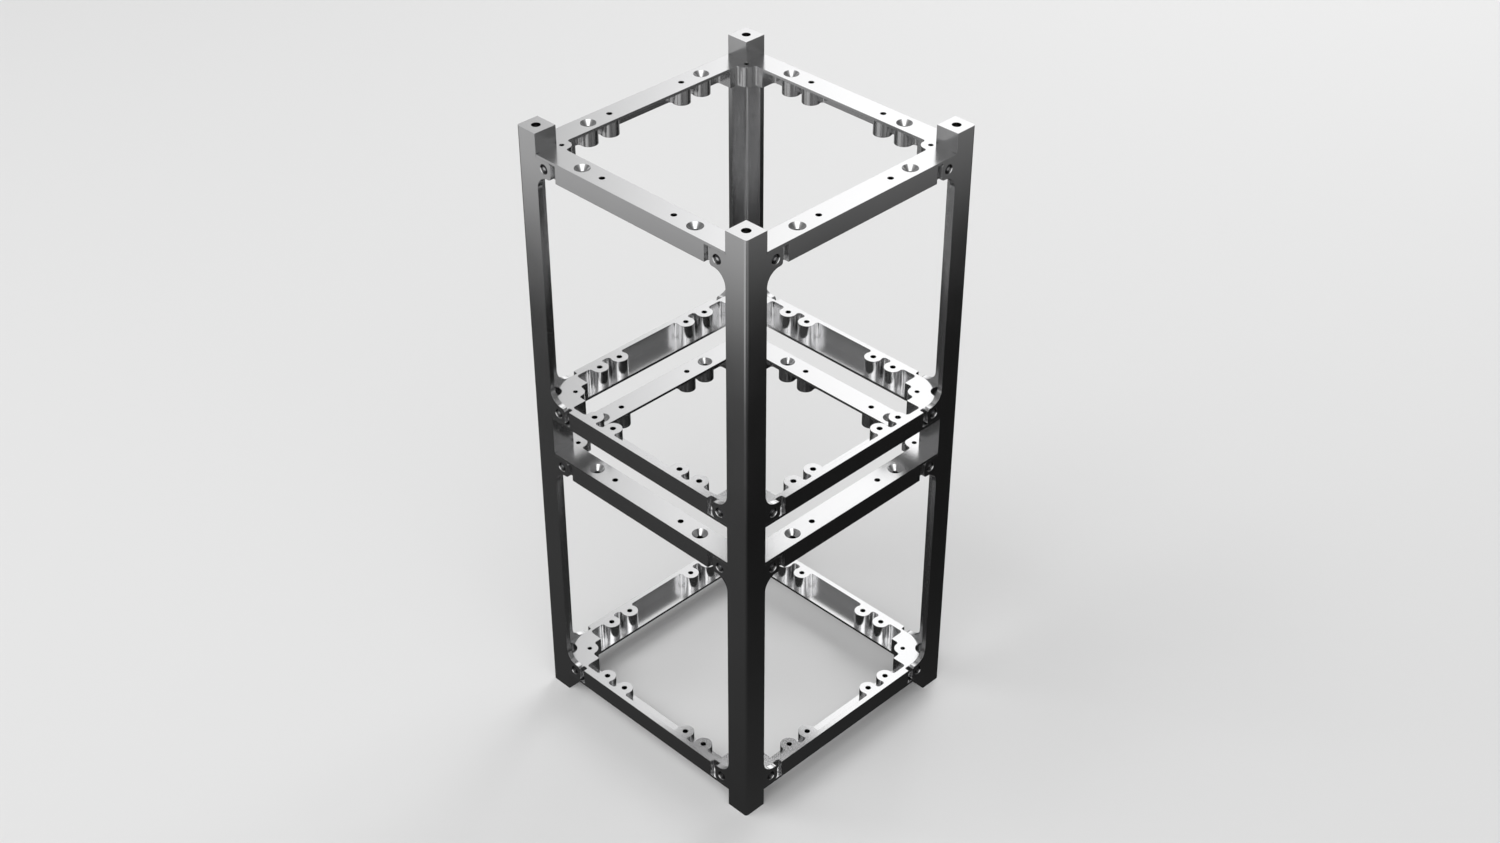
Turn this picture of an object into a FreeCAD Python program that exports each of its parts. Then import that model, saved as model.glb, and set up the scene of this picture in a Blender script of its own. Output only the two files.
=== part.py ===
import FreeCAD, Part
import math
import operator
import os
import Sketcher

# Two-unit cubesat frame: four identical corner rails and four identical square rings, held
# together at every crossing by two countersunk screws. Millimetres, +Z up, origin at the
# centre of the footprint on the plane that the four rail ends stand on.
#
# Each rail is drawn at the front-left corner (-X, -Y) and turned about Z to its own corner.
# Each ring is drawn with its flange on top and turned over where the open side faces up.

SIZES = (
    ("frame_width", 100.0, "side of the square footprint"),
    ("frame_height", 227.0, "height over the rail ends"),
    ("rail_width", 8.5, "side of a rail's square blocks and width of its two legs"),
    ("rail_wall", 1.8, "thickness of the legs and of the tabs"),
    ("rail_edge_radius", 1.0, "round on a rail's outer edge"),
    ("rail_root_radius", 1.0, "round in the corner between the legs"),
    ("end_block_height", 7.0, "solid block at each rail end"),
    ("middle_block_height", 14.0, "solid block between the two middle rings"),
    ("end_hole_diameter", 2.9, "tapped hole in each rail end"),
    ("tab_reach", 15.0, "end of a tab, from the corner"),
    ("tab_corner_radius", 1.0, "round on the two corners of a tab's end"),
    ("tab_sweep_radius", 5.2, "hollow round between a tab and the leg"),
    ("ring_height", 7.0, "height of a ring"),
    ("flange_width", 8.5, "width of a ring's flange"),
    ("flange_thickness", 1.0, "thickness of a ring's flange"),
    ("ring_wall", 1.8, "thickness of a ring's outer wall"),
    ("corner_pocket_wall", 2.8, "the same wall beside the corner lugs"),
    ("pocket_radius", 1.0, "round in the upright corners of the pockets"),
    ("lug_reach", 16.0, "side of the solid corner lug, from the corner"),
    ("recess_reach", 17.3, "end of the recess that takes a tab, from the corner"),
    ("recess_radius", 0.6, "round in the inner corner of the recess"),
    ("notch_gap", 0.1, "gap between a rail's leg and the notch in the flange"),
    ("relief_diameter", 6.1, "round relief in the ring's corner, on the end hole's axis"),
    ("hole_line", 4.25, "row of flange holes, from the outer face"),
    ("plain_hole_spacing", 31.5, "between the two plain holes of a side"),
    ("countersunk_hole_spacing", 49.5, "between the two countersunk holes of a side"),
    ("flange_hole_diameter", 2.0, "bore of the flange holes"),
    ("countersink_diameter", 5.3, "mouth of the countersunk flange holes"),
    ("boss_diameter", 6.2, "boss round every flange hole"),
    ("corner_hole_inset", 9.62, "stack rod hole, from both outer faces"),
    ("corner_hole_diameter", 1.7, "stack rod hole in every ring corner"),
    ("nose_diameter", 6.2, "round nose of the lug, about the stack rod hole"),
    ("nose_root_radius", 1.0, "hollow round between the nose and the flange"),
    ("screw_inset", 12.0, "screw through a tab, from the corner"),
    ("tab_hole_diameter", 1.9, "clearance hole through a tab"),
    ("tab_countersink_diameter", 3.5, "mouth of that hole"),
    ("thread_diameter", 1.6, "screw shank and the tapped hole in the lug"),
    ("screw_head_diameter", 2.6, "rim of the domed screw head"),
    ("screw_dome_height", 0.4, "rise of the dome over that rim"),
    ("screw_reach", 6.0, "tip of the screw, from the outer face"),
    ("tapped_hole_reach", 6.8, "bottom of the tapped hole, from the outer face"),
)
COUNTERSINK_ANGLE = 90.0
CORNERS = ("front_left", "front_right", "back_right", "back_left")
QUARTER_TURN = 90.0
OPERATIONS = {"+": operator.add, "-": operator.sub, "*": operator.mul, "/": operator.truediv}


class Size:
    """A length as a number, together with the sheet expression that gives it."""

    def __init__(self, value, text):
        self.value = value
        self.text = text

    def joined(self, sign, other):
        if not isinstance(other, Size):
            other = Size(other, str(other))
        value = OPERATIONS[sign](self.value, other.value)
        return Size(value, "(%s %s %s)" % (self.text, sign, other.text))

    def __add__(self, other):
        return self.joined("+", other)

    def __sub__(self, other):
        return self.joined("-", other)

    def __mul__(self, other):
        return self.joined("*", other)

    def __truediv__(self, other):
        return self.joined("/", other)

    def __neg__(self):
        return Size(-self.value, "(0 - %s)" % self.text)


class Bend:
    """An arc from one outline corner to the next, about a centre, to the left or the right."""

    def __init__(self, radius, centre, left):
        self.radius = radius
        self.centre = centre
        self.left = left


def make_sheet(doc):
    """Put every driving size in the spreadsheet and hand back the same sizes by name."""
    sheet = doc.addObject("Spreadsheet::Sheet", "sizes")
    named = {}
    for row, (name, value, note) in enumerate(SIZES, start=1):
        sheet.set("A%d" % row, name)
        sheet.set("B%d" % row, str(value))
        sheet.set("C%d" % row, note)
        sheet.setAlias("B%d" % row, name)
        named[name] = Size(value, "sizes.%s" % name)
    doc.recompute()
    return named


# ---------------------------------------------------------------- sketches

def new_body(doc, name):
    body = doc.addObject("PartDesign::Body", name)
    body.Label = name
    return body


def origin_feature(body, role):
    return next(feature for feature in body.Origin.OriginFeatures if feature.Role == role)


def new_sketch(body, name, plane="XY_Plane", offset=(None, None, None), turn=None):
    """Add a sketch on a plane of the body's origin, moved and turned within that plane's frame."""
    sketch = body.newObject("Sketcher::SketchObject", name)
    sketch.AttachmentSupport = [(origin_feature(body, plane), "")]
    sketch.MapMode = "FlatFace"
    base = FreeCAD.Vector(*[length.value if length else 0.0 for length in offset])
    sketch.AttachmentOffset = FreeCAD.Placement(base, turn or FreeCAD.Rotation())
    for axis, length in zip("xyz", offset):
        if length:
            sketch.setExpression("AttachmentOffset.Base.%s" % axis, length.text)
    return sketch


def bind(sketch, kind, *arguments):
    """Add a constraint whose last argument is a Size, and bind it to the sheet."""
    size = arguments[-1]
    index = sketch.addConstraint(Sketcher.Constraint(kind, *arguments[:-1], size.value))
    sketch.setExpression("Constraints[%d]" % index, size.text)


def pin(sketch, geometry, end, place):
    """Fix one end of a geometry element at a place measured from the sketch origin."""
    bind(sketch, "DistanceX", -1, 1, geometry, end, place[0])
    bind(sketch, "DistanceY", -1, 1, geometry, end, place[1])


def circle(sketch, place, diameter):
    centre = FreeCAD.Vector(place[0].value, place[1].value, 0)
    index = sketch.addGeometry(Part.Circle(centre, FreeCAD.Vector(0, 0, 1), diameter.value / 2), False)
    pin(sketch, index, 3, place)
    bind(sketch, "Diameter", index, diameter)


def outline(sketch, corners):
    """Close a loop through corners (x, y), each optionally followed by the Bend to the next one."""
    places = [FreeCAD.Vector(corner[0].value, corner[1].value, 0) for corner in corners]
    joints = []
    for number, corner in enumerate(corners):
        start, finish = places[number], places[(number + 1) % len(places)]
        if len(corner) == 2:
            joints.append((sketch.addGeometry(Part.LineSegment(start, finish), False), 1, 2))
            continue
        bend = corner[2]
        centre = FreeCAD.Vector(bend.centre[0].value, bend.centre[1].value, 0)
        first, last = [math.atan2(end.y - centre.y, end.x - centre.x) for end in (start, finish)]
        ring = Part.Circle(centre, FreeCAD.Vector(0, 0, 1), bend.radius.value)
        arc = Part.ArcOfCircle(ring, first, last) if bend.left else Part.ArcOfCircle(ring, last, first)
        index = sketch.addGeometry(arc, False)
        joints.append((index, 1, 2) if bend.left else (index, 2, 1))
        bind(sketch, "Radius", index, bend.radius)
    for number, (geometry, start, _) in enumerate(joints):
        before, _, finish = joints[number - 1]
        sketch.addConstraint(Sketcher.Constraint("Coincident", before, finish, geometry, start))
        pin(sketch, geometry, start, corners[number])


def rectangle(sketch, low, high):
    outline(sketch, [(low[0], low[1]), (high[0], low[1]), (high[0], high[1]), (low[0], high[1])])


# ---------------------------------------------------------------- features

def pad(body, sketch, length, reversed_way=False):
    feature = body.newObject("PartDesign::Pad", sketch.Name + "_pad")
    feature.Profile = sketch
    feature.setExpression("Length", length.text)
    feature.Reversed = reversed_way
    return feature


def pocket(body, sketch, depth, reversed_way=False):
    feature = body.newObject("PartDesign::Pocket", sketch.Name + "_cut")
    feature.Profile = sketch
    feature.setExpression("Length", depth.text)
    feature.Reversed = reversed_way
    return feature


def countersunk_holes(body, sketch, bore, mouth, depth):
    """Drill a countersunk hole at every circle of the sketch."""
    body.Document.recompute()
    feature = body.newObject("PartDesign::Hole", sketch.Name + "_holes")
    feature.Profile = sketch
    feature.ThreadType = "None"
    feature.DepthType = "Dimension"
    feature.DrillPoint = "Flat"
    feature.HoleCutType = "Countersink"
    feature.HoleCutCustomValues = True
    feature.HoleCutCountersinkAngle = COUNTERSINK_ANGLE
    feature.setExpression("Diameter", bore.text)
    feature.setExpression("HoleCutDiameter", mouth.text)
    feature.setExpression("Depth", depth.text)
    return feature


def turn_about_z(body, name, features):
    """Repeat features at the four quarters round the body's Z axis."""
    pattern = body.newObject("PartDesign::PolarPattern", name)
    pattern.Originals = features
    pattern.Axis = (origin_feature(body, "Z_Axis"), [""])
    pattern.Angle = 360.0
    pattern.Occurrences = 4
    body.Tip = pattern
    body.Document.recompute()
    return pattern


def round_edges(body, name, wanted, radius):
    """Round every upright straight edge of the body's tip that a test on (x, y, length) picks."""
    body.Document.recompute()
    base, picked = body.Tip, []
    for number, edge in enumerate(base.Shape.Edges, start=1):
        if not isinstance(edge.Curve, Part.Line):
            continue
        low, high = edge.Vertexes[0].Point, edge.Vertexes[-1].Point
        if math.hypot(high.x - low.x, high.y - low.y) < 1e-6 and wanted(low.x, low.y, edge.Length):
            picked.append("Edge%d" % number)
    feature = body.newObject("PartDesign::Fillet", name)
    feature.Base = (base, picked)
    feature.setExpression("Radius", radius.text)
    body.Document.recompute()
    return feature


# ---------------------------------------------------------------- places

class Layout:
    """Places that the rails, the rings and the screws share."""

    def __init__(self, size):
        self.size = size
        self.half = size["frame_width"] / 2
        self.bay = (size["frame_height"] - size["end_block_height"] * 2 - size["middle_block_height"]
                    - size["ring_height"] * 4) / 2
        low_ring = size["end_block_height"]
        middle_low = low_ring + size["ring_height"] + self.bay
        middle_high = middle_low + size["ring_height"] + size["middle_block_height"]
        high_ring = middle_high + size["ring_height"] + self.bay
        # name, underside, whether the open side faces up
        self.rings = (("lower_bay_bottom_ring", low_ring, True),
                      ("lower_bay_top_ring", middle_low, False),
                      ("upper_bay_bottom_ring", middle_high, True),
                      ("upper_bay_top_ring", high_ring, False))

    def edge(self, inset):
        """A coordinate of the front-left corner, measured inwards from the outer face."""
        return inset - self.half

    def tab_sides(self, underside, open_up):
        """Heights of a tab's side against the ring's flange and of its side towards the bay."""
        topside = underside + self.size["ring_height"]
        if open_up:
            return underside + self.size["flange_thickness"], topside
        return topside - self.size["flange_thickness"], underside

    def screw_height(self, underside, open_up):
        """Height of the screws through the tabs, half-way between a tab's two sides."""
        flat, curved = self.tab_sides(underside, open_up)
        return (flat + curved) / 2


class FaceFrame:
    """Sketch frame on the outer face of a corner: the front face or the left one, normal outwards."""

    def __init__(self, layout, front):
        self.layout = layout
        self.front = front

    def sketch(self, body, name, depth=None):
        """Add a sketch on the face, or on the plane a given depth behind it."""
        out = self.layout.half - depth if depth else self.layout.half
        if self.front:
            return new_sketch(body, name, "XZ_Plane", (None, None, out))
        turned = FreeCAD.Rotation(FreeCAD.Vector(0, 1, 0), 180)
        return new_sketch(body, name, "YZ_Plane", (None, None, -out), turned)

    def across(self, inset):
        """Sketch x at an inset from the corner; the left face is seen the other way round."""
        place = self.layout.edge(inset)
        return place if self.front else -place


# ---------------------------------------------------------------- corner rails

def rail_legs(body, layout):
    """The angle section over the whole height."""
    size, edge = layout.size, layout.edge
    outer, wide, wall = -layout.half, edge(size["rail_width"]), edge(size["rail_wall"])
    root = edge(size["rail_wall"] + size["rail_root_radius"])
    sketch = new_sketch(body, "rail_section")
    outline(sketch, [(outer, outer), (wide, outer), (wide, wall),
                     (root, wall, Bend(size["rail_root_radius"], (root, root), False)),
                     (wall, root), (wall, wide), (outer, wide)])
    pad(body, sketch, size["frame_height"])


def rail_blocks(body, layout):
    """The solid square blocks: one at each end and one between the two middle rings."""
    size = layout.size
    top_start = size["frame_height"] - size["end_block_height"]
    middle_start = layout.rings[1][1] + size["ring_height"]
    blocks = (("bottom_block", None, size["end_block_height"]),
              ("middle_block", middle_start, size["middle_block_height"]),
              ("top_block", top_start, size["end_block_height"]))
    for name, start, height in blocks:
        sketch = new_sketch(body, name, offset=(None, None, start))
        outer, wide = -layout.half, layout.edge(size["rail_width"])
        rectangle(sketch, (outer, outer), (wide, wide))
        pad(body, sketch, height)


def tab_outline(sketch, frame, underside, bay_above):
    """One tab against a ring's flange: rounded at its end, swept into the leg on the bay's side."""
    size = frame.layout.size
    sweep, corner = size["tab_sweep_radius"], size["tab_corner_radius"]
    flat, curved = frame.layout.tab_sides(underside, bay_above)
    if bay_above:
        flat_end, curved_end, beyond = flat + corner, curved - corner, curved + sweep
    else:
        flat_end, curved_end, beyond = flat - corner, curved + corner, curved - sweep
    root, leg = frame.across(size["rail_width"] / 2), frame.across(size["rail_width"])
    start, tip = frame.across(size["rail_width"] + sweep), frame.across(size["tab_reach"])
    side = frame.across(size["tab_reach"] - corner)
    outwards = frame.front == bay_above
    outline(sketch, [(root, flat), (side, flat, Bend(corner, (side, flat_end), outwards)),
                     (tip, flat_end), (tip, curved_end, Bend(corner, (side, curved_end), outwards)),
                     (side, curved), (start, curved, Bend(sweep, (start, beyond), not outwards)),
                     (leg, beyond), (root, beyond)])


def rail_tabs(body, layout):
    """Four tabs on each leg, flush with its outer face, and a countersunk hole through each."""
    size = layout.size
    for front in (True, False):
        frame = FaceFrame(layout, front)
        side = "front" if front else "left"
        tabs = frame.sketch(body, side + "_tabs")
        for _, underside, open_up in layout.rings:
            tab_outline(tabs, frame, underside, open_up)
        pad(body, tabs, size["rail_wall"], True)
        drilled = frame.sketch(body, side + "_tab_screw")
        for _, underside, open_up in layout.rings:
            place = (frame.across(size["screw_inset"]), layout.screw_height(underside, open_up))
            circle(drilled, place, size["tab_hole_diameter"])
        countersunk_holes(body, drilled, size["tab_hole_diameter"],
                          size["tab_countersink_diameter"], size["rail_wall"])


def rail_end_holes(body, layout):
    """A tapped hole through the block at each end, on the block's own axis."""
    size = layout.size
    axis = layout.edge(size["rail_width"] / 2)
    for name, height, upwards in (("bottom_hole", None, True), ("top_hole", size["frame_height"], False)):
        sketch = new_sketch(body, name, offset=(None, None, height))
        circle(sketch, (axis, axis), size["end_hole_diameter"])
        pocket(body, sketch, size["end_block_height"], upwards)


def build_rail(doc, layout, corner):
    """One corner rail, turned to its own corner."""
    body = new_body(doc, "rail_" + CORNERS[corner])
    rail_legs(body, layout)
    rail_blocks(body, layout)
    rail_tabs(body, layout)
    rail_end_holes(body, layout)
    outer = -layout.half.value

    def is_outer_edge(x, y, length):
        return abs(x - outer) < 1e-6 and abs(y - outer) < 1e-6

    round_edges(body, "rail_outer_edge", is_outer_edge, layout.size["rail_edge_radius"])
    turn = FreeCAD.Rotation(FreeCAD.Vector(0, 0, 1), QUARTER_TURN * corner)
    body.Placement = FreeCAD.Placement(FreeCAD.Vector(), turn)
    return body


# ---------------------------------------------------------------- rings

def ring_blank(body, layout):
    """A plain square band as wide as the flange."""
    outer, inner = layout.half, layout.half - layout.size["flange_width"]
    sketch = new_sketch(body, "band")
    rectangle(sketch, (-outer, -outer), (outer, outer))
    rectangle(sketch, (-inner, -inner), (inner, inner))
    pad(body, sketch, layout.size["ring_height"])


def ring_corner(body, layout):
    """The corner lug: its nose, the room for the rail and its tabs, and the holes."""
    size, edge = layout.size, layout.edge
    tall, outer = size["ring_height"], -layout.half
    under_flange = tall - size["flange_thickness"]
    rod = edge(size["corner_hole_inset"])
    nose = new_sketch(body, "lug_nose")
    circle(nose, (rod, rod), size["nose_diameter"])
    features = [pad(body, nose, tall)]

    axis, seat = edge(size["rail_width"] / 2), edge(size["rail_wall"])
    for name, reach, depth in (("tab_recess", size["recess_reach"], under_flange),
                               ("flange_notch", size["rail_width"] + size["notch_gap"], tall)):
        room, end = new_sketch(body, name), edge(reach)
        outline(room, [(outer, outer), (end, outer), (end, seat), (axis, seat), (axis, axis),
                       (seat, axis), (seat, end), (outer, end)])
        features.append(pocket(body, room, depth, True))

    relief = new_sketch(body, "end_hole_relief")
    circle(relief, (axis, axis), size["relief_diameter"])
    features.append(pocket(body, relief, tall, True))

    rod_hole = new_sketch(body, "rod_hole")
    circle(rod_hole, (rod, rod), size["corner_hole_diameter"])
    features.append(pocket(body, rod_hole, tall, True))

    for front in (True, False):
        frame = FaceFrame(layout, front)
        tapped = frame.sketch(body, ("front" if front else "left") + "_tapped", size["rail_wall"])
        circle(tapped, (frame.across(size["screw_inset"]), under_flange / 2), size["thread_diameter"])
        features.append(pocket(body, tapped, size["tapped_hole_reach"] - size["rail_wall"]))
    return features


def ring_side(body, layout):
    """One side of the ring: the pocket under the flange, the bosses left in it and their holes."""
    size, edge, half = layout.size, layout.edge, layout.half
    tall, row = size["ring_height"], edge(size["hole_line"])
    plain, sunk = size["plain_hole_spacing"] / 2, size["countersunk_hole_spacing"] / 2
    lug, thick = half - size["lug_reach"], edge(size["corner_pocket_wall"])
    thin, inner = edge(size["ring_wall"]), edge(size["flange_width"])

    hollow = new_sketch(body, "side_pocket")
    outline(hollow, [(-lug, thick), (-sunk, thick), (-sunk, thin), (sunk, thin), (sunk, thick),
                     (lug, thick), (lug, inner), (-lug, inner)])
    features = [pocket(body, hollow, tall - size["flange_thickness"], True)]

    bosses = new_sketch(body, "bosses")
    for along in (-sunk, -plain, plain, sunk):
        circle(bosses, (along, row), size["boss_diameter"])
    features.append(pad(body, bosses, tall))

    bores = new_sketch(body, "plain_holes")
    for along in (-plain, plain):
        circle(bores, (along, row), size["flange_hole_diameter"])
    features.append(pocket(body, bores, tall, True))

    mouths = new_sketch(body, "flange", offset=(None, None, tall))
    for along in (-sunk, sunk):
        circle(mouths, (along, row), size["flange_hole_diameter"])
    features.append(countersunk_holes(body, mouths, size["flange_hole_diameter"],
                                      size["countersink_diameter"], tall))
    return features


def round_ring(body, layout):
    """Round the upright corners of the pockets, of the noses' roots and of the tab recesses."""
    size = layout.size
    half = layout.half.value
    deep = size["ring_height"].value - size["flange_thickness"].value

    def insets(x, y):
        return sorted((half - abs(x), half - abs(y)))

    def beside_recess(x, y):
        return abs(insets(x, y)[1] - size["recess_reach"].value) < 1e-6

    def in_pocket(x, y, length):
        near, far = insets(x, y)
        return (abs(length - deep) < 1e-6 and near < size["hole_line"].value
                and far > size["lug_reach"].value - 1e-6 and not beside_recess(x, y))

    def at_nose(x, y, length):
        near, far = insets(x, y)
        reach = size["corner_hole_inset"].value + size["nose_diameter"].value / 2
        return abs(near - size["flange_width"].value) < 1e-6 and near + 1e-6 < far < reach + 1e-6

    def in_recess(x, y, length):
        return abs(insets(x, y)[0] - size["rail_wall"].value) < 1e-6 and beside_recess(x, y)

    round_edges(body, "pocket_corners", in_pocket, size["pocket_radius"])
    round_edges(body, "nose_roots", at_nose, size["nose_root_radius"])
    round_edges(body, "recess_corners", in_recess, size["recess_radius"])


def build_ring(doc, layout, ring):
    """One ring at its height, turned over where its open side faces up."""
    name, underside, open_up = ring
    body = new_body(doc, name)
    ring_blank(body, layout)
    features = ring_corner(body, layout) + ring_side(body, layout)
    turn_about_z(body, "quarters", features)
    round_ring(body, layout)
    turn = FreeCAD.Rotation(FreeCAD.Vector(1, 0, 0), 180 if open_up else 0)
    base = underside + layout.size["ring_height"] if open_up else underside
    body.Placement = FreeCAD.Placement(FreeCAD.Vector(0, 0, base.value), turn)
    body.setExpression("Placement.Base.z", base.text)
    return body


# ---------------------------------------------------------------- screws

def screw(body, layout, front):
    """One domed countersunk screw on the front or the left face, at height zero."""
    size = layout.size
    rim, shank = size["screw_head_diameter"] / 2, size["thread_diameter"] / 2
    seat = (size["tab_countersink_diameter"] - size["screw_head_diameter"]) / 2
    crown, tip = seat - size["screw_dome_height"], size["screw_reach"]
    axis, face = layout.edge(size["screw_inset"]), -layout.half
    side = "front" if front else "left"
    offset, turn = ((axis, face, None), 0) if front else ((face, axis, None), -QUARTER_TURN)
    sketch = new_sketch(body, side + "_screw", offset=offset,
                        turn=FreeCAD.Rotation(FreeCAD.Vector(0, 0, 1), turn))
    rise, middle = size["screw_dome_height"], Size(0.0, "0 mm")
    dome = (rim * rim + rise * rise) / (rise * 2)
    bend = Bend(dome, (middle, crown + dome), True)
    outline(sketch, [(middle, tip), (middle, crown, bend), (rim, seat),
                     (shank, seat + rim - shank), (shank, tip)])
    turned = body.newObject("PartDesign::Revolution", side + "_shank")
    turned.Profile = sketch
    turned.ReferenceAxis = (sketch, ["V_Axis"])
    turned.Angle = 360.0


def build_screws(doc, layout, ring, corner):
    """The two screws that hold one corner of one ring to its rail."""
    name, underside, open_up = ring
    body = new_body(doc, "%s_screws_%s" % (name.replace("_ring", ""), CORNERS[corner]))
    body.AllowCompound = True
    for front in (True, False):
        screw(body, layout, front)
    height = layout.screw_height(underside, open_up)
    turn = FreeCAD.Rotation(FreeCAD.Vector(0, 0, 1), QUARTER_TURN * corner)
    body.Placement = FreeCAD.Placement(FreeCAD.Vector(0, 0, height.value), turn)
    body.setExpression("Placement.Base.z", height.text)
    return body


# ---------------------------------------------------------------- document

def check(doc, bodies):
    """Stop if any object failed or any body isn't a valid solid."""
    for item in doc.Objects:
        if "Invalid" in item.State or "Error" in item.State:
            raise RuntimeError("%s failed: %s" % (item.Name, item.State))
    for body in bodies:
        if body.Shape.isNull() or not body.Shape.isValid() or not body.Shape.Solids:
            raise RuntimeError("%s has no valid solid" % body.Label)


def main():
    doc = FreeCAD.newDocument("cubesat_frame")
    layout = Layout(make_sheet(doc))
    bodies = [build_rail(doc, layout, corner) for corner in range(len(CORNERS))]
    for ring in layout.rings:
        bodies.append(build_ring(doc, layout, ring))
        for corner in range(len(CORNERS)):
            bodies.append(build_screws(doc, layout, ring, corner))
    doc.recompute()
    check(doc, bodies)
    os.makedirs("parts", exist_ok=True)
    for body in bodies:
        body.Shape.exportStep("parts/%s.step" % body.Label)
        print("%-44s solids %d  volume %10.2f" % (body.Label, len(body.Shape.Solids), body.Shape.Volume))


main()
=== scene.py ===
"""Dresses the two-unit cubesat frame: milled rails and rings, stainless screws, cut threads.

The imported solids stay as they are. This script gives each of them a machined finish, cuts the
threads in the rail ends, and sets the studio and the camera. Every length is in metres.
"""

import logging
import math
from dataclasses import dataclass
from enum import Enum
from functools import reduce
import bmesh
import bpy
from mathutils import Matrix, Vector


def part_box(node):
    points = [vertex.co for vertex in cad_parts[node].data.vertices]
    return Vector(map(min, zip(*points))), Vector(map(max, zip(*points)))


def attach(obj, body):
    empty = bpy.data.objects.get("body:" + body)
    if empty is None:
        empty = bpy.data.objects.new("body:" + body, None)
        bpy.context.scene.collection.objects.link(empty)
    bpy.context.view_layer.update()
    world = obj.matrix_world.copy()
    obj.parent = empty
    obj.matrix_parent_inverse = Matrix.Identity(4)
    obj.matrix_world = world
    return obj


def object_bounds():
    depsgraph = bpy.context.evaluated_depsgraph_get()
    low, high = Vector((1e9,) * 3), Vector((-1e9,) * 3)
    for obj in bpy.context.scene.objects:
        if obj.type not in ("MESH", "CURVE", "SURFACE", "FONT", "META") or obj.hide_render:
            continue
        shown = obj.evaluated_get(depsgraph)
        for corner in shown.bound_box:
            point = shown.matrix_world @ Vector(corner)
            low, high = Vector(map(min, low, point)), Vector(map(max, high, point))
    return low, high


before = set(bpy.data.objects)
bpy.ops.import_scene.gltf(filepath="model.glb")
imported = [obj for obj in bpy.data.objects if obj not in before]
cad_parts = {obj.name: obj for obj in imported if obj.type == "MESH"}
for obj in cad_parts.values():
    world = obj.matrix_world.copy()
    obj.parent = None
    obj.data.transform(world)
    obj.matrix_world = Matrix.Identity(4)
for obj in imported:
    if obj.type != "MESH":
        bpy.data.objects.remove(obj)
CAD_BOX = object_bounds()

LOG = logging.getLogger("cubesat_frame")
MM = 0.001

CORNERS = ("front_left", "front_right", "back_right", "back_left")
LEVELS = ("lower_bay_bottom", "lower_bay_top", "upper_bay_bottom", "upper_bay_top")

# The Mix node keeps its sockets for colours at these places.
MIX_SHARE, MIX_LOW, MIX_HIGH, MIX_COLOUR = 0, 6, 7, 2

Colour = tuple[float, float, float]
Triple = tuple[float, float, float]
Paint = Colour | bpy.types.NodeSocket


class Lay(Enum):
    """The way the tool marks run over a milled piece."""

    ALONG_RAIL = "along the rail"
    ROUND_RING = "round the ring"


class Wave:
    """A socket that carries a number, with operators that add Math nodes."""

    def __init__(self, graph: "Graph", socket: bpy.types.NodeSocket) -> None:
        """Wraps one output socket.

        Args:
            graph: The graph that holds the socket's node.
            socket: The output socket.
        """
        self.graph = graph
        self.socket = socket

    def _math(self, operation: str, *operands: "Wave | float") -> "Wave":
        """Adds a Math node.

        Args:
            operation: The Math node's operation.
            operands: Numbers or waves, in the order of the node's inputs.

        Returns:
            The node's result.
        """
        node = self.graph.add("ShaderNodeMath", {"operation": operation}, dict(enumerate(operands)))
        return Wave(self.graph, node.outputs[0])

    def __add__(self, other: "Wave | float") -> "Wave":
        """self + other."""
        return self._math("ADD", self, other)

    def __radd__(self, other: float) -> "Wave":
        """other + self."""
        return self._math("ADD", other, self)

    def __sub__(self, other: "Wave | float") -> "Wave":
        """self - other."""
        return self._math("SUBTRACT", self, other)

    def __rsub__(self, other: float) -> "Wave":
        """other - self."""
        return self._math("SUBTRACT", other, self)

    def __mul__(self, other: "Wave | float") -> "Wave":
        """self * other."""
        return self._math("MULTIPLY", self, other)

    def __rmul__(self, other: float) -> "Wave":
        """other * self."""
        return self._math("MULTIPLY", other, self)

    def __gt__(self, other: "Wave | float") -> "Wave":
        """1 where self is greater than other, else 0."""
        return self._math("GREATER_THAN", self, other)

    def __abs__(self) -> "Wave":
        """The size of self without its sign."""
        return self._math("ABSOLUTE", self)

    def root(self) -> "Wave":
        """The square root of self."""
        return self._math("SQRT", self)

    def sine(self) -> "Wave":
        """The sine of self, in radians."""
        return self._math("SINE", self)

    def least(self, other: "Wave | float") -> "Wave":
        """The smaller of self and other."""
        return self._math("MINIMUM", self, other)

    def most(self, other: "Wave | float") -> "Wave":
        """The larger of self and other."""
        return self._math("MAXIMUM", self, other)

    def ramp(self, low: float, high: float, start: float = 0.0, end: float = 1.0) -> "Wave":
        """Turns a range into another by a smooth step.

        Args:
            low: The value of self that gives start.
            high: The value of self that gives end.
            start: The result at and below low.
            end: The result at and above high.

        Returns:
            The smooth step.
        """
        settings = {"interpolation_type": "SMOOTHSTEP"}
        inputs = {"Value": self, 1: low, 2: high, 3: start, 4: end}
        node = self.graph.add("ShaderNodeMapRange", settings, inputs)
        return Wave(self.graph, node.outputs[0])

    def choose(self, high: "Wave | float", low: "Wave | float") -> "Wave":
        """Blends two values.

        Args:
            high: The value where self is 1.
            low: The value where self is 0.

        Returns:
            The blend.
        """
        return self * high + (1 - self) * low


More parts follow.
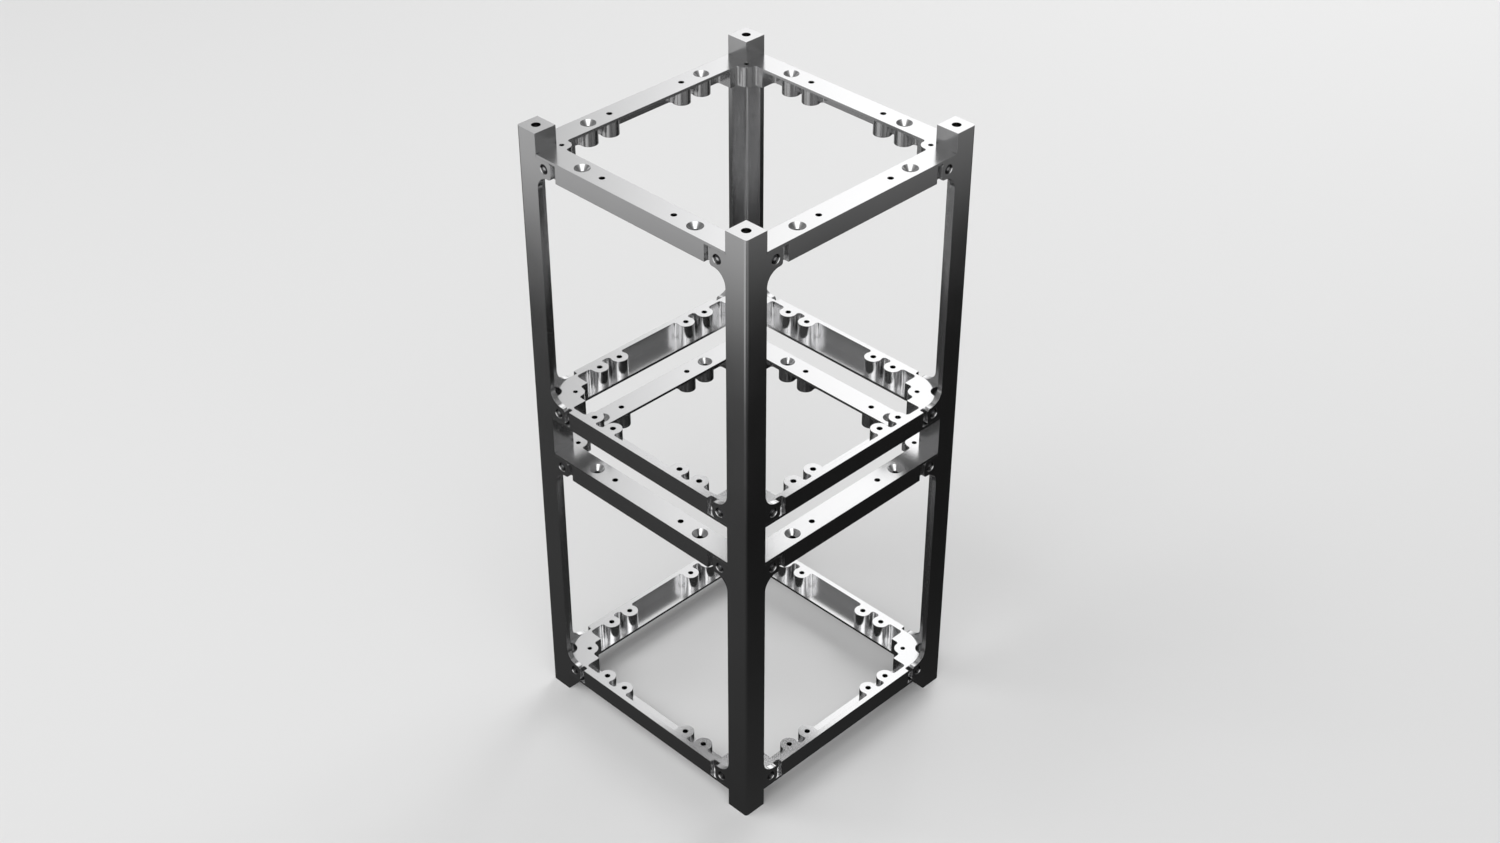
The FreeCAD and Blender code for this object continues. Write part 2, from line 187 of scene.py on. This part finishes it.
class Graph:
    """A node tree with one way to add a node."""

    def __init__(self, tree: bpy.types.NodeTree) -> None:
        """Clears the tree.

        Args:
            tree: A material's or the world's node tree.
        """
        self.tree = tree
        tree.nodes.clear()

    def add(self, kind: str, settings: dict | None = None, inputs: dict | None = None) -> bpy.types.Node:
        """Adds a node.

        Args:
            kind: The node's type.
            settings: The node's own settings, made first.
            inputs: Each input socket's number, colour, vector, wave or socket.

        Returns:
            The node.
        """
        node = self.tree.nodes.new(kind)
        for name, value in (settings or {}).items():
            setattr(node, name, value)
        for name, value in (inputs or {}).items():
            socket = node.inputs[name]
            source = value.socket if isinstance(value, Wave) else value
            if isinstance(source, bpy.types.NodeSocket):
                self.tree.links.new(source, socket)
            else:
                socket.default_value = source
        return node

    def wave(self, node: bpy.types.Node, output: int | str = 0) -> Wave:
        """One output of a node as a wave."""
        return Wave(self, node.outputs[output])

    def parts(self, vector: bpy.types.NodeSocket) -> tuple[Wave, Wave, Wave]:
        """A vector's three parts."""
        node = self.add("ShaderNodeSeparateXYZ", inputs={0: vector})
        return self.wave(node, 0), self.wave(node, 1), self.wave(node, 2)

    def scaled(self, vector: bpy.types.NodeSocket, scale: Triple) -> bpy.types.NodeSocket:
        """A vector with each part multiplied by its own number."""
        node = self.add("ShaderNodeVectorMath", {"operation": "MULTIPLY"}, {0: vector, 1: scale})
        return node.outputs[0]

    def dot(self, first: bpy.types.NodeSocket, second: bpy.types.NodeSocket | Triple) -> Wave:
        """The dot product of two vectors."""
        node = self.add("ShaderNodeVectorMath", {"operation": "DOT_PRODUCT"}, {0: first, 1: second})
        return self.wave(node, "Value")

    def noise(self, vector: bpy.types.NodeSocket, scale: float, detail: float = 2.0) -> Wave:
        """Noise over a vector.

        Args:
            vector: The place.
            scale: Features per metre.
            detail: The number of finer octaves.

        Returns:
            The noise, about 0 to 1.
        """
        node = self.add("ShaderNodeTexNoise", inputs={"Vector": vector, "Scale": scale, "Detail": detail})
        return self.wave(node, 0)

    def blend(self, share: "Wave | float", low: Paint, high: Paint) -> bpy.types.NodeSocket:
        """Blends two colours.

        Args:
            share: How much of the second colour.
            low: The colour at 0.
            high: The colour at 1.

        Returns:
            The colour.
        """
        low, high = ((*end, 1.0) if isinstance(end, tuple) else end for end in (low, high))
        inputs = {MIX_SHARE: share, MIX_LOW: low, MIX_HIGH: high}
        return self.add("ShaderNodeMix", {"data_type": "RGBA"}, inputs).outputs[MIX_COLOUR]

    def openness(self, reach: float, shut: float, clear: float) -> Wave:
        """How open the place is: 0 deep in a hole, 1 on a free face.

        Args:
            reach: How far away a wall still counts.
            shut: The share of open sky that gives 0.
            clear: The share of open sky that gives 1.

        Returns:
            The openness.
        """
        node = self.add("ShaderNodeAmbientOcclusion", {"samples": 8}, {"Distance": reach})
        return self.wave(node, "AO").ramp(shut, clear)

    def finish(self, **sockets: "Wave | float | Paint") -> None:
        """Ends a material with a metal surface.

        Args:
            sockets: The surface's inputs by name, with _ for a space.
        """
        inputs = {name.replace("_", " "): value for name, value in sockets.items()}
        surface = self.add("ShaderNodeBsdfPrincipled", inputs={"Metallic": 1.0} | inputs)
        self.add("ShaderNodeOutputMaterial", inputs={"Surface": surface.outputs[0]})


@dataclass(frozen=True)
class MilledAluminium:
    """Bare aluminium from the mill, with tool marks, haze, burnished edges and painted shade in holes and
    corners.

    Args:
        name: The material's name.
        lay: The way the tool marks run.
        colour: The metal's colour.
        bright: The colour of burnished edges.
        shade: The colour of the painted shade deep in a hole or corner.
        roughness: The roughness between marks.
        pitch: The distance between tool marks.
        depth: The height of the marks.
        edge: The radius of the broken edges.
        haze: Patches of haze per metre.
        grain: Grains per metre.
        lines: Straight tool marks per metre.
        hole_reach: How far away a wall still adds painted shade to a hole.
        cutter: The radius of the cutter that leaves curved marks.
        track: How far out of the middle the cutter's centre runs round a ring.
    """

    name: str
    lay: Lay
    colour: Colour = (0.80, 0.80, 0.805)
    bright: Colour = (0.93, 0.93, 0.93)
    shade: Colour = (0.02, 0.02, 0.02)
    roughness: float = 0.20
    pitch: float = 0.45 * MM
    depth: float = 0.0012 * MM
    edge: float = 0.09 * MM
    haze: float = 55.0
    grain: float = 2600.0
    lines: float = 2400.0
    hole_reach: float = 4.0 * MM
    cutter: float = 5.0 * MM
    track: float = 45.75 * MM

    def build(self) -> bpy.types.Material:
        """Makes the material.

        Returns:
            The material.
        """
        material = bpy.data.materials.new(self.name)
        material.use_nodes = True
        graph = Graph(material.node_tree)
        place = graph.add("ShaderNodeTexCoord").outputs["Object"]
        normal = graph.add("ShaderNodeNewGeometry").outputs["True Normal"]
        rounded = graph.add("ShaderNodeBevel", {"samples": 4}, {"Radius": self.edge}).outputs[0]
        worn = graph.dot(rounded, normal).ramp(0.80, 0.995, 1.0, 0.0)
        haze = graph.noise(place, self.haze, 3.0)
        grain = graph.noise(place, self.grain)
        level = abs(graph.parts(normal)[2]) > 0.7
        marks = self._marks(graph, place, level)
        tint = (haze - 0.5) * 0.35 + (grain - 0.5) * 0.25 + (marks - 0.5) * 0.10 + 0.5
        base = graph.blend(tint.ramp(0.1, 0.9), self._dimmed(0.93), self.colour)
        base = graph.blend(worn * 0.35, base, self.bright)
        # Painted shade: the piece's own holes are darkened in the colour.
        base = self._painted_hole_shade(graph, place, base)
        # Painted shade: ambient occlusion darkens the colour in holes, grooves and tight corners.
        base = graph.blend(graph.openness(self.hole_reach, 0.05, 0.36), self.shade, base)
        rough = (haze - 0.5) * 0.08 + (grain - 0.5) * 0.06 + (marks - 0.5) * 0.04 + self.roughness
        bump = graph.add(
            "ShaderNodeBump",
            inputs={
                "Strength": 0.35,
                "Distance": self.depth,
                "Height": marks * 0.7 + grain * 0.3,
                "Normal": rounded,
            },
        )
        graph.finish(Base_Color=base, Roughness=rough, Normal=bump.outputs[0])
        return material

    def _dimmed(self, share: float) -> Colour:
        """The metal's colour at a share of its brightness."""
        return tuple(part * share for part in self.colour)

    def _painted_hole_shade(self, graph: Graph, place: bpy.types.NodeSocket, base: Paint) -> Paint:
        """The colour with painted shade in the piece's own holes: a plain piece has none."""
        return base

    def _marks(self, graph: Graph, place: bpy.types.NodeSocket, level: Wave) -> Wave:
        """The tool marks' height.

        Args:
            graph: The material's graph.
            place: The place on the piece.
            level: 1 on a level face and 0 on an upright one.

        Returns:
            The height, about 0 to 1.
        """
        x, y, _ = graph.parts(place)
        stretch = (1.0, 1.0, 0.02) if self.lay is Lay.ALONG_RAIL else (0.02, 0.02, 1.0)
        lines = graph.noise(graph.scaled(place, stretch), self.lines, 3.0)
        return level.choose(self._arcs(x, y), lines)

    def _arcs(self, x: Wave, y: Wave) -> Wave:
        """Curved marks of a cutter that runs round the four sides.

        Args:
            x: The place to the right.
            y: The place to the back.

        Returns:
            The height, 0 to 1.
        """
        across = abs(x).most(abs(y)) - self.track
        front_or_back = abs(y) > abs(x)
        along = front_or_back.choose(x, y)
        bow = (self.cutter**2 - across * across).most(0.0).root()
        phase = (along - bow) * (2 * math.pi / self.pitch)
        return phase.sine() * 0.5 + 0.5


@dataclass(frozen=True)
class RailAluminium(MilledAluminium):
    """The rails' metal, with painted shade in their countersunk holes and nearly black painted shade in
    their end holes.

    Args:
        sinks: The heights of the countersunk holes.
        sink_inset: How far their axes lie from the middle of a side.
        sink_radius: How far from their axes the painted shade reaches.
        sink_shade_share: The brightness that the painted shade leaves there.
        bore_inset: How far the end holes' axes lie from the middle, across and along.
        bore_radius: How far from their axes the nearly black painted shade reaches.
        bore_shade_share: The brightness that the painted shade leaves there.
    """

    sinks: tuple[float, ...] = ()
    sink_inset: float = 38.0 * MM
    sink_radius: float = 1.62 * MM
    sink_shade_share: float = 0.16
    bore_inset: float = 45.75 * MM
    bore_radius: float = 1.56 * MM
    bore_shade_share: float = 0.02

    def _painted_hole_shade(self, graph: Graph, place: bpy.types.NodeSocket, base: Paint) -> Paint:
        """Paints shade into the rails' countersunk holes and end holes.

        Args:
            graph: The material's graph.
            place: The place on the piece.
            base: The colour so far.

        Returns:
            The colour.
        """
        x, y, z = graph.parts(place)
        # Painted shade round each countersunk hole's axis.
        off_axis = abs(x).least(abs(y)) - self.sink_inset
        away = reduce(Wave.least, [abs(z - height) for height in self.sinks])
        sink_shade_mask = (off_axis * off_axis + away * away).root()
        sink_shade_mask = sink_shade_mask.ramp(self.sink_radius - 0.10 * MM, self.sink_radius, 1.0, 0.0)
        base = graph.blend(sink_shade_mask, base, self._dimmed(self.sink_shade_share))
        # Nearly black painted shade round each end hole's axis.
        across, along = abs(x) - self.bore_inset, abs(y) - self.bore_inset
        bore_shade_mask = (across * across + along * along).root()
        bore_shade_mask = bore_shade_mask.ramp(self.bore_radius - 0.06 * MM, self.bore_radius, 1.0, 0.0)
        return graph.blend(bore_shade_mask, base, self._dimmed(self.bore_shade_share))


@dataclass(frozen=True)
class TurnedSteel:
    """Stainless steel from the lathe: a polished crown inside a rougher rim with painted shade, with fine
    turning rings.

    Args:
        name: The material's name.
        level: The height of the screws' axes.
        inset: How far the axes lie from the middle of a side.
        colour: The crown's colour.
        rim: The colour of the painted shade on the rim.
        crown: The crown's radius.
        roughness: The roughness between rings.
        pitch: The distance between turning rings.
        depth: The height of the rings.
        edge: The radius of the broken edges.
        grain: Grains per metre.
    """

    name: str
    level: float
    inset: float = 38.0 * MM
    colour: Colour = (0.86, 0.86, 0.87)
    rim: Colour = (0.10, 0.10, 0.105)
    crown: float = 0.66 * MM
    roughness: float = 0.22
    pitch: float = 0.14 * MM
    depth: float = 0.002 * MM
    edge: float = 0.06 * MM
    grain: float = 5200.0

    def build(self) -> bpy.types.Material:
        """Makes the material.

        Returns:
            The material.
        """
        material = bpy.data.materials.new(self.name)
        material.use_nodes = True
        graph = Graph(material.node_tree)
        place = graph.add("ShaderNodeTexCoord").outputs["Object"]
        rounded = graph.add("ShaderNodeBevel", {"samples": 4}, {"Radius": self.edge}).outputs[0]
        x, y, z = graph.parts(place)
        off_axis = abs(x).least(abs(y)) - self.inset
        distance = (off_axis * off_axis + (z - self.level) * (z - self.level)).root()
        rings = (distance * (2 * math.pi / self.pitch)).sine() * 0.5 + 0.5
        grain = graph.noise(place, self.grain)
        # 1 on the rim round the crown, which takes painted shade in its colour and a higher roughness.
        rim_shade_and_dullness = distance.ramp(self.crown - 0.10 * MM, self.crown + 0.10 * MM)
        dull = tuple(part * 0.9 for part in self.colour)
        crown = graph.blend(rings * 0.4 + grain * 0.6, dull, self.colour)
        # Painted shade: the rim round the crown takes a near-black colour.
        base = graph.blend(rim_shade_and_dullness, crown, self.rim)
        rough = rings * 0.05 + (grain - 0.5) * 0.12 + rim_shade_and_dullness * 0.15 + self.roughness
        bump = graph.add(
            "ShaderNodeBump",
            inputs={"Strength": 0.4, "Distance": self.depth, "Height": rings, "Normal": rounded},
        )
        graph.finish(Base_Color=base, Roughness=rough, Normal=bump.outputs[0])
        return material


def wear(node: str, material: bpy.types.Material) -> None:
    """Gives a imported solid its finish.

    Args:
        node: The solid's name.
        material: The finish.
    """
    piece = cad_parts[node]
    if piece.material_slots:
        for slot in piece.material_slots:
            slot.material = material
    else:
        piece.data.materials.append(material)


@dataclass
class Rails:
    """The four corner rails.

    Args:
        screws: The heights of the screws that hold them.
        corners: The corners that they stand on.
    """

    screws: tuple[float, ...]
    corners: tuple[str, ...] = CORNERS

    def names(self) -> list[str]:
        """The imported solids' names."""
        return [f"rail_{corner}" for corner in self.corners]

    def dress(self) -> None:
        """Gives each rail its finish and cuts the threads in its ends."""
        material = RailAluminium("rail_milled_aluminium", Lay.ALONG_RAIL, sinks=self.screws).build()
        for name in self.names():
            wear(name, material)
            LOG.info("%s: %s", name, material.name)
        EndThreads(self.names()).build(material)


@dataclass
class Rings:
    """The four square rings.

    Args:
        levels: The rings' places, from the floor up.
    """

    levels: tuple[str, ...] = LEVELS

    def dress(self) -> None:
        """Gives each ring its finish."""
        material = MilledAluminium(
            "ring_milled_aluminium", Lay.ROUND_RING, colour=(0.82, 0.82, 0.825)
        ).build()
        for level in self.levels:
            wear(f"{level}_ring", material)
            LOG.info("%s_ring: %s", level, material.name)


@dataclass
class Screws:
    """The countersunk screws that hold the rails' tabs to the rings.

    Args:
        levels: The rings that they hold.
        corners: The rails that they hold.
    """

    levels: tuple[str, ...] = LEVELS
    corners: tuple[str, ...] = CORNERS

    def heights(self) -> tuple[float, ...]:
        """The heights of the screws' axes, from the floor up."""
        boxes = [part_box(f"{level}_screws_{self.corners[0]}") for level in self.levels]
        return tuple((low.z + high.z) / 2 for low, high in boxes)

    def dress(self) -> None:
        """Gives each pair of screws its finish, with turning rings round their own axes."""
        for level, height in zip(self.levels, self.heights()):
            material = TurnedSteel(f"{level}_screw_steel", height).build()
            for corner in self.corners:
                name = f"{level}_screws_{corner}"
                wear(name, material)
                LOG.info("%s: %s", name, material.name)


@dataclass
class EndThreads:
    """The threads cut in the rail ends.

    Args:
        rails: The rails' names.
        axis_inset: How far the hole lies from the rail's two outer faces.
        wall: The hole's radius.
        crest: The radius of the thread's crest.
        pitch: The distance between turns.
        depth: The length of the hole.
        lead: How far the thread starts below the rail's end.
        sides: The steps in one turn.
    """

    rails: list[str]
    axis_inset: float = 4.25 * MM
    wall: float = 1.45 * MM
    crest: float = 1.24 * MM
    pitch: float = 0.5 * MM
    depth: float = 7.0 * MM
    lead: float = 0.35 * MM
    sides: int = 28

    def build(self, material: bpy.types.Material) -> None:
        """Cuts the thread in both ends of each rail.

        Args:
            material: The rail's metal.
        """
        for rail in self.rails:
            low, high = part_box(rail)
            centre_x = math.copysign(max(abs(low.x), abs(high.x)) - self.axis_inset, low.x + high.x)
            centre_y = math.copysign(max(abs(low.y), abs(high.y)) - self.axis_inset, low.y + high.y)
            for end, mouth, way in (("top", high.z, -1.0), ("bottom", low.z, 1.0)):
                name = f"{rail}_{end}_thread"
                thread = self._thread(name, Vector((centre_x, centre_y, mouth)), way)
                thread.data.materials.append(material)
                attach(thread, "root")
                LOG.info("%s: %d faces", name, len(thread.data.polygons))

    def _thread(self, name: str, mouth: Vector, way: float) -> bpy.types.Object:
        """Makes one thread as a helical ridge on the hole's wall.

        Args:
            name: The piece's name.
            mouth: The middle of the hole's mouth.
            way: The direction into the hole along the height.

        Returns:
            The thread.
        """
        turns = (self.depth - 2 * self.lead) / self.pitch
        steps = int(turns * self.sides)
        flank = 0.42 * self.pitch
        mesh = bmesh.new()
        previous = None
        for step in range(steps + 1):
            angle = 2 * math.pi * step / self.sides
            taper = min(1.0, step / self.sides, (steps - step) / self.sides)
            rise = self.lead + self.pitch * step / self.sides
            inner = self.wall - (self.wall - self.crest) * taper
            ring = []
            for radius, shift in (
                (self.wall + 0.01 * MM, -flank),
                (inner, -0.06 * self.pitch),
                (inner, 0.06 * self.pitch),
                (self.wall + 0.01 * MM, flank),
            ):
                across = radius * math.cos(angle)
                along = radius * math.sin(angle) * -way
                ring.append(mesh.verts.new(mouth + Vector((across, along, way * (rise + shift)))))
            if previous:
                for corner in range(4):
                    after = (corner + 1) % 4
                    mesh.faces.new((previous[corner], previous[after], ring[after], ring[corner]))
            else:
                mesh.faces.new(ring)
            previous = ring
        mesh.faces.new(list(reversed(previous)))
        bmesh.ops.recalc_face_normals(mesh, faces=mesh.faces)
        data = bpy.data.meshes.new(name)
        mesh.to_mesh(data)
        mesh.free()
        piece = bpy.data.objects.new(name, data)
        bpy.context.scene.collection.objects.link(piece)
        return piece


@dataclass(frozen=True)
class Glow:
    """A share of the card's light, which changes along one level direction.

    Args:
        x: How much a place to the right counts.
        y: How much a place to the back counts.
        start: Where the change starts, along that direction.
        stop: Where it ends.
        first: The light up to the start.
        last: The light past the stop.
    """

    x: float
    y: float
    start: float
    stop: float
    first: float
    last: float

    def over(self, x: Wave, y: Wave) -> Wave:
        """The light at a place on the card."""
        return (x * self.x + y * self.y).ramp(self.start, self.stop, self.first, self.last)


@dataclass
class Studio:
    """The pale floor, the soft light and the surroundings that the metal mirrors.

    Args:
        half: Half the side of the floor and of the dark card.
        floor_colour: The floor's colour.
        backdrop: The plain backdrop's colour.
        near: The card's light round the frame.
        front: The card's light far out in front.
        back: The card's light far out behind.
        left: The card's light far out to the left.
        right: The card's light far out to the right.
        behind: The direction of the bright box behind the frame.
        over: The direction of the bright box overhead.
    """

    half: float = 4.0
    floor_colour: Colour = (0.70, 0.70, 0.70)
    backdrop: Colour = (0.62, 0.62, 0.62)
    near: Glow = Glow(1.0, 1.0, -0.25, 0.25, 0.046, 0.010)
    front: Glow = Glow(1.0, -1.0, 0.30, 0.90, 0.0, 0.14)
    back: Glow = Glow(-1.0, 1.0, 0.30, 0.80, 0.0, 0.42)
    left: Glow = Glow(-0.15, -1.0, 0.265, 0.365, 0.0, 0.44)
    right: Glow = Glow(1.0, 0.15, 0.285, 0.42, 0.0, 0.20)
    behind: Triple = (-0.609, 0.609, 0.509)
    over: Triple = (0.36, -0.36, 0.86)

    def build(self) -> None:
        """Makes the floor, the card, the world and the lights."""
        low, _ = CAD_BOX
        self._floor(low.z - 0.02 * MM)
        self._card(low.z - 1.0 * MM)
        self._world()
        self._softbox("key_softbox", Vector((-0.55, -0.85, 1.25)), 0.9, 9.0)
        self._softbox("back_softbox", Vector((-0.25, 1.15, 1.05)), 0.8, 8.0)

    def _plane(self, name: str, height: float) -> tuple[bpy.types.Object, Graph]:
        """Lays a square plane with a bare material.

        Args:
            name: Its name.
            height: Its height.

        Returns:
            The plane and its material's graph.
        """
        half = self.half
        data = bpy.data.meshes.new(name)
        signs = ((-1, -1), (1, -1), (1, 1), (-1, 1))
        data.from_pydata([(x * half, y * half, height) for x, y in signs], [], [(0, 1, 2, 3)])
        plane = bpy.data.objects.new(name, data)
        bpy.context.scene.collection.objects.link(plane)
        material = bpy.data.materials.new(f"{name}_paint")
        material.use_nodes = True
        data.materials.append(material)
        LOG.info("%s: %s", name, material.name)
        return plane, Graph(material.node_tree)

    def _floor(self, height: float) -> None:
        """Lays the pale floor."""
        floor, graph = self._plane("floor", height)
        inputs = {"Base Color": (*self.floor_colour, 1.0), "Roughness": 0.7, "Specular IOR Level": 0.2}
        surface = graph.add("ShaderNodeBsdfPrincipled", inputs=inputs)
        graph.add("ShaderNodeOutputMaterial", inputs={"Surface": surface.outputs[0]})
        floor.visible_glossy = False

    def _card(self, height: float) -> None:
        """Lays the dark card that the upright metal mirrors: dark near by, lighter far out."""
        card, graph = self._plane("card", height)
        x, y, _ = graph.parts(graph.add("ShaderNodeTexCoord").outputs["Object"])
        glows = (self.near, self.front, self.back, self.left, self.right)
        light = reduce(Wave.__add__, [glow.over(x, y) for glow in glows])
        surface = graph.add("ShaderNodeEmission", inputs={"Color": light, "Strength": 1.0})
        graph.add("ShaderNodeOutputMaterial", inputs={"Surface": surface.outputs[0]})
        card.visible_camera = False
        card.visible_diffuse = False
        card.visible_shadow = False

    def _world(self) -> None:
        """Makes the soft surroundings above the floor: a bright box at the back, one overhead."""
        world = bpy.data.worlds.new("studio")
        world.use_nodes = True
        graph = Graph(world.node_tree)
        direction = graph.add("ShaderNodeTexCoord").outputs["Generated"]
        x, y, z = graph.parts(direction)
        sides = abs(x + y).ramp(0.65, 1.20, 1.0, 0.45)
        room = y.ramp(-0.2, 1.0, 0.40, 0.24) * sides + (x - y).ramp(0.5, 1.2, 0.0, 0.55)
        behind = graph.dot(direction, self.behind).ramp(0.80, 0.93)
        over = graph.dot(direction, self.over).ramp(0.84, 0.95)
        light = behind.choose((x + y).ramp(-0.25, 0.09, 0.33, 1.32), room) + over * 1.1
        seen = graph.wave(graph.add("ShaderNodeLightPath"), "Is Camera Ray")
        inputs = {"Color": light, "Strength": 1.0}
        studio = graph.add("ShaderNodeBackground", inputs=inputs).outputs[0]
        inputs = {"Color": (*self.backdrop, 1.0), "Strength": 1.0}
        plain = graph.add("ShaderNodeBackground", inputs=inputs).outputs[0]
        mixed = graph.add("ShaderNodeMixShader", inputs={0: seen, 1: studio, 2: plain})
        graph.add("ShaderNodeOutputWorld", inputs={"Surface": mixed.outputs[0]})
        bpy.context.scene.world = world
        LOG.info("world: studio")

    def _softbox(self, name: str, place: Vector, side: float, watts: float) -> None:
        """Hangs one soft square light that points at the frame's middle.

        Args:
            name: The light's name.
            place: Where it hangs.
            side: Its side.
            watts: Its power.
        """
        data = bpy.data.lights.new(name, "AREA")
        data.shape = "SQUARE"
        data.size = side
        data.energy = watts
        light = bpy.data.objects.new(name, data)
        light.location = place
        aim = Vector((0.0, 0.0, 0.10)) - place
        light.rotation_euler = aim.to_track_quat("-Z", "Y").to_euler()
        light.visible_glossy = False
        bpy.context.scene.collection.objects.link(light)
        LOG.info("%s: %.1f W", name, watts)


@dataclass
class Viewpoint:
    """The camera.

    Args:
        place: Where it stands.
        turn: How far it looks left of the back, in degrees.
        dip: How far it looks down, in degrees.
        lens: The focal length in millimetres on a 36 mm sensor.
        shift: The sideways shift of the picture.
    """

    place: tuple[float, float, float] = (0.41653, -0.41653, 0.53084)
    turn: float = 45.0
    dip: float = 35.2
    lens: float = 51.24
    shift: float = 0.0025

    def build(self) -> None:
        """Makes the camera and gives it to the scene."""
        data = bpy.data.cameras.new("camera")
        data.sensor_width = 36.0
        data.lens = self.lens
        data.shift_x = self.shift
        data.clip_start = 0.01
        data.clip_end = 50.0
        camera = bpy.data.objects.new("camera", data)
        camera.location = self.place
        camera.rotation_euler = (math.radians(90.0 - self.dip), 0.0, math.radians(self.turn))
        bpy.context.scene.collection.objects.link(camera)
        bpy.context.scene.camera = camera
        LOG.info("camera: %.1f mm", self.lens)


def main() -> None:
    """Builds the classes in order and reports each piece."""
    logging.basicConfig(level=logging.INFO, format="%(name)s: %(message)s")
    bpy.context.scene.view_settings.view_transform = "Standard"
    Viewpoint().build()
    screws = Screws()
    Rails(screws.heights()).dress()
    Rings().dress()
    screws.dress()
    Studio().build()


if __name__ == "__main__":
    main()
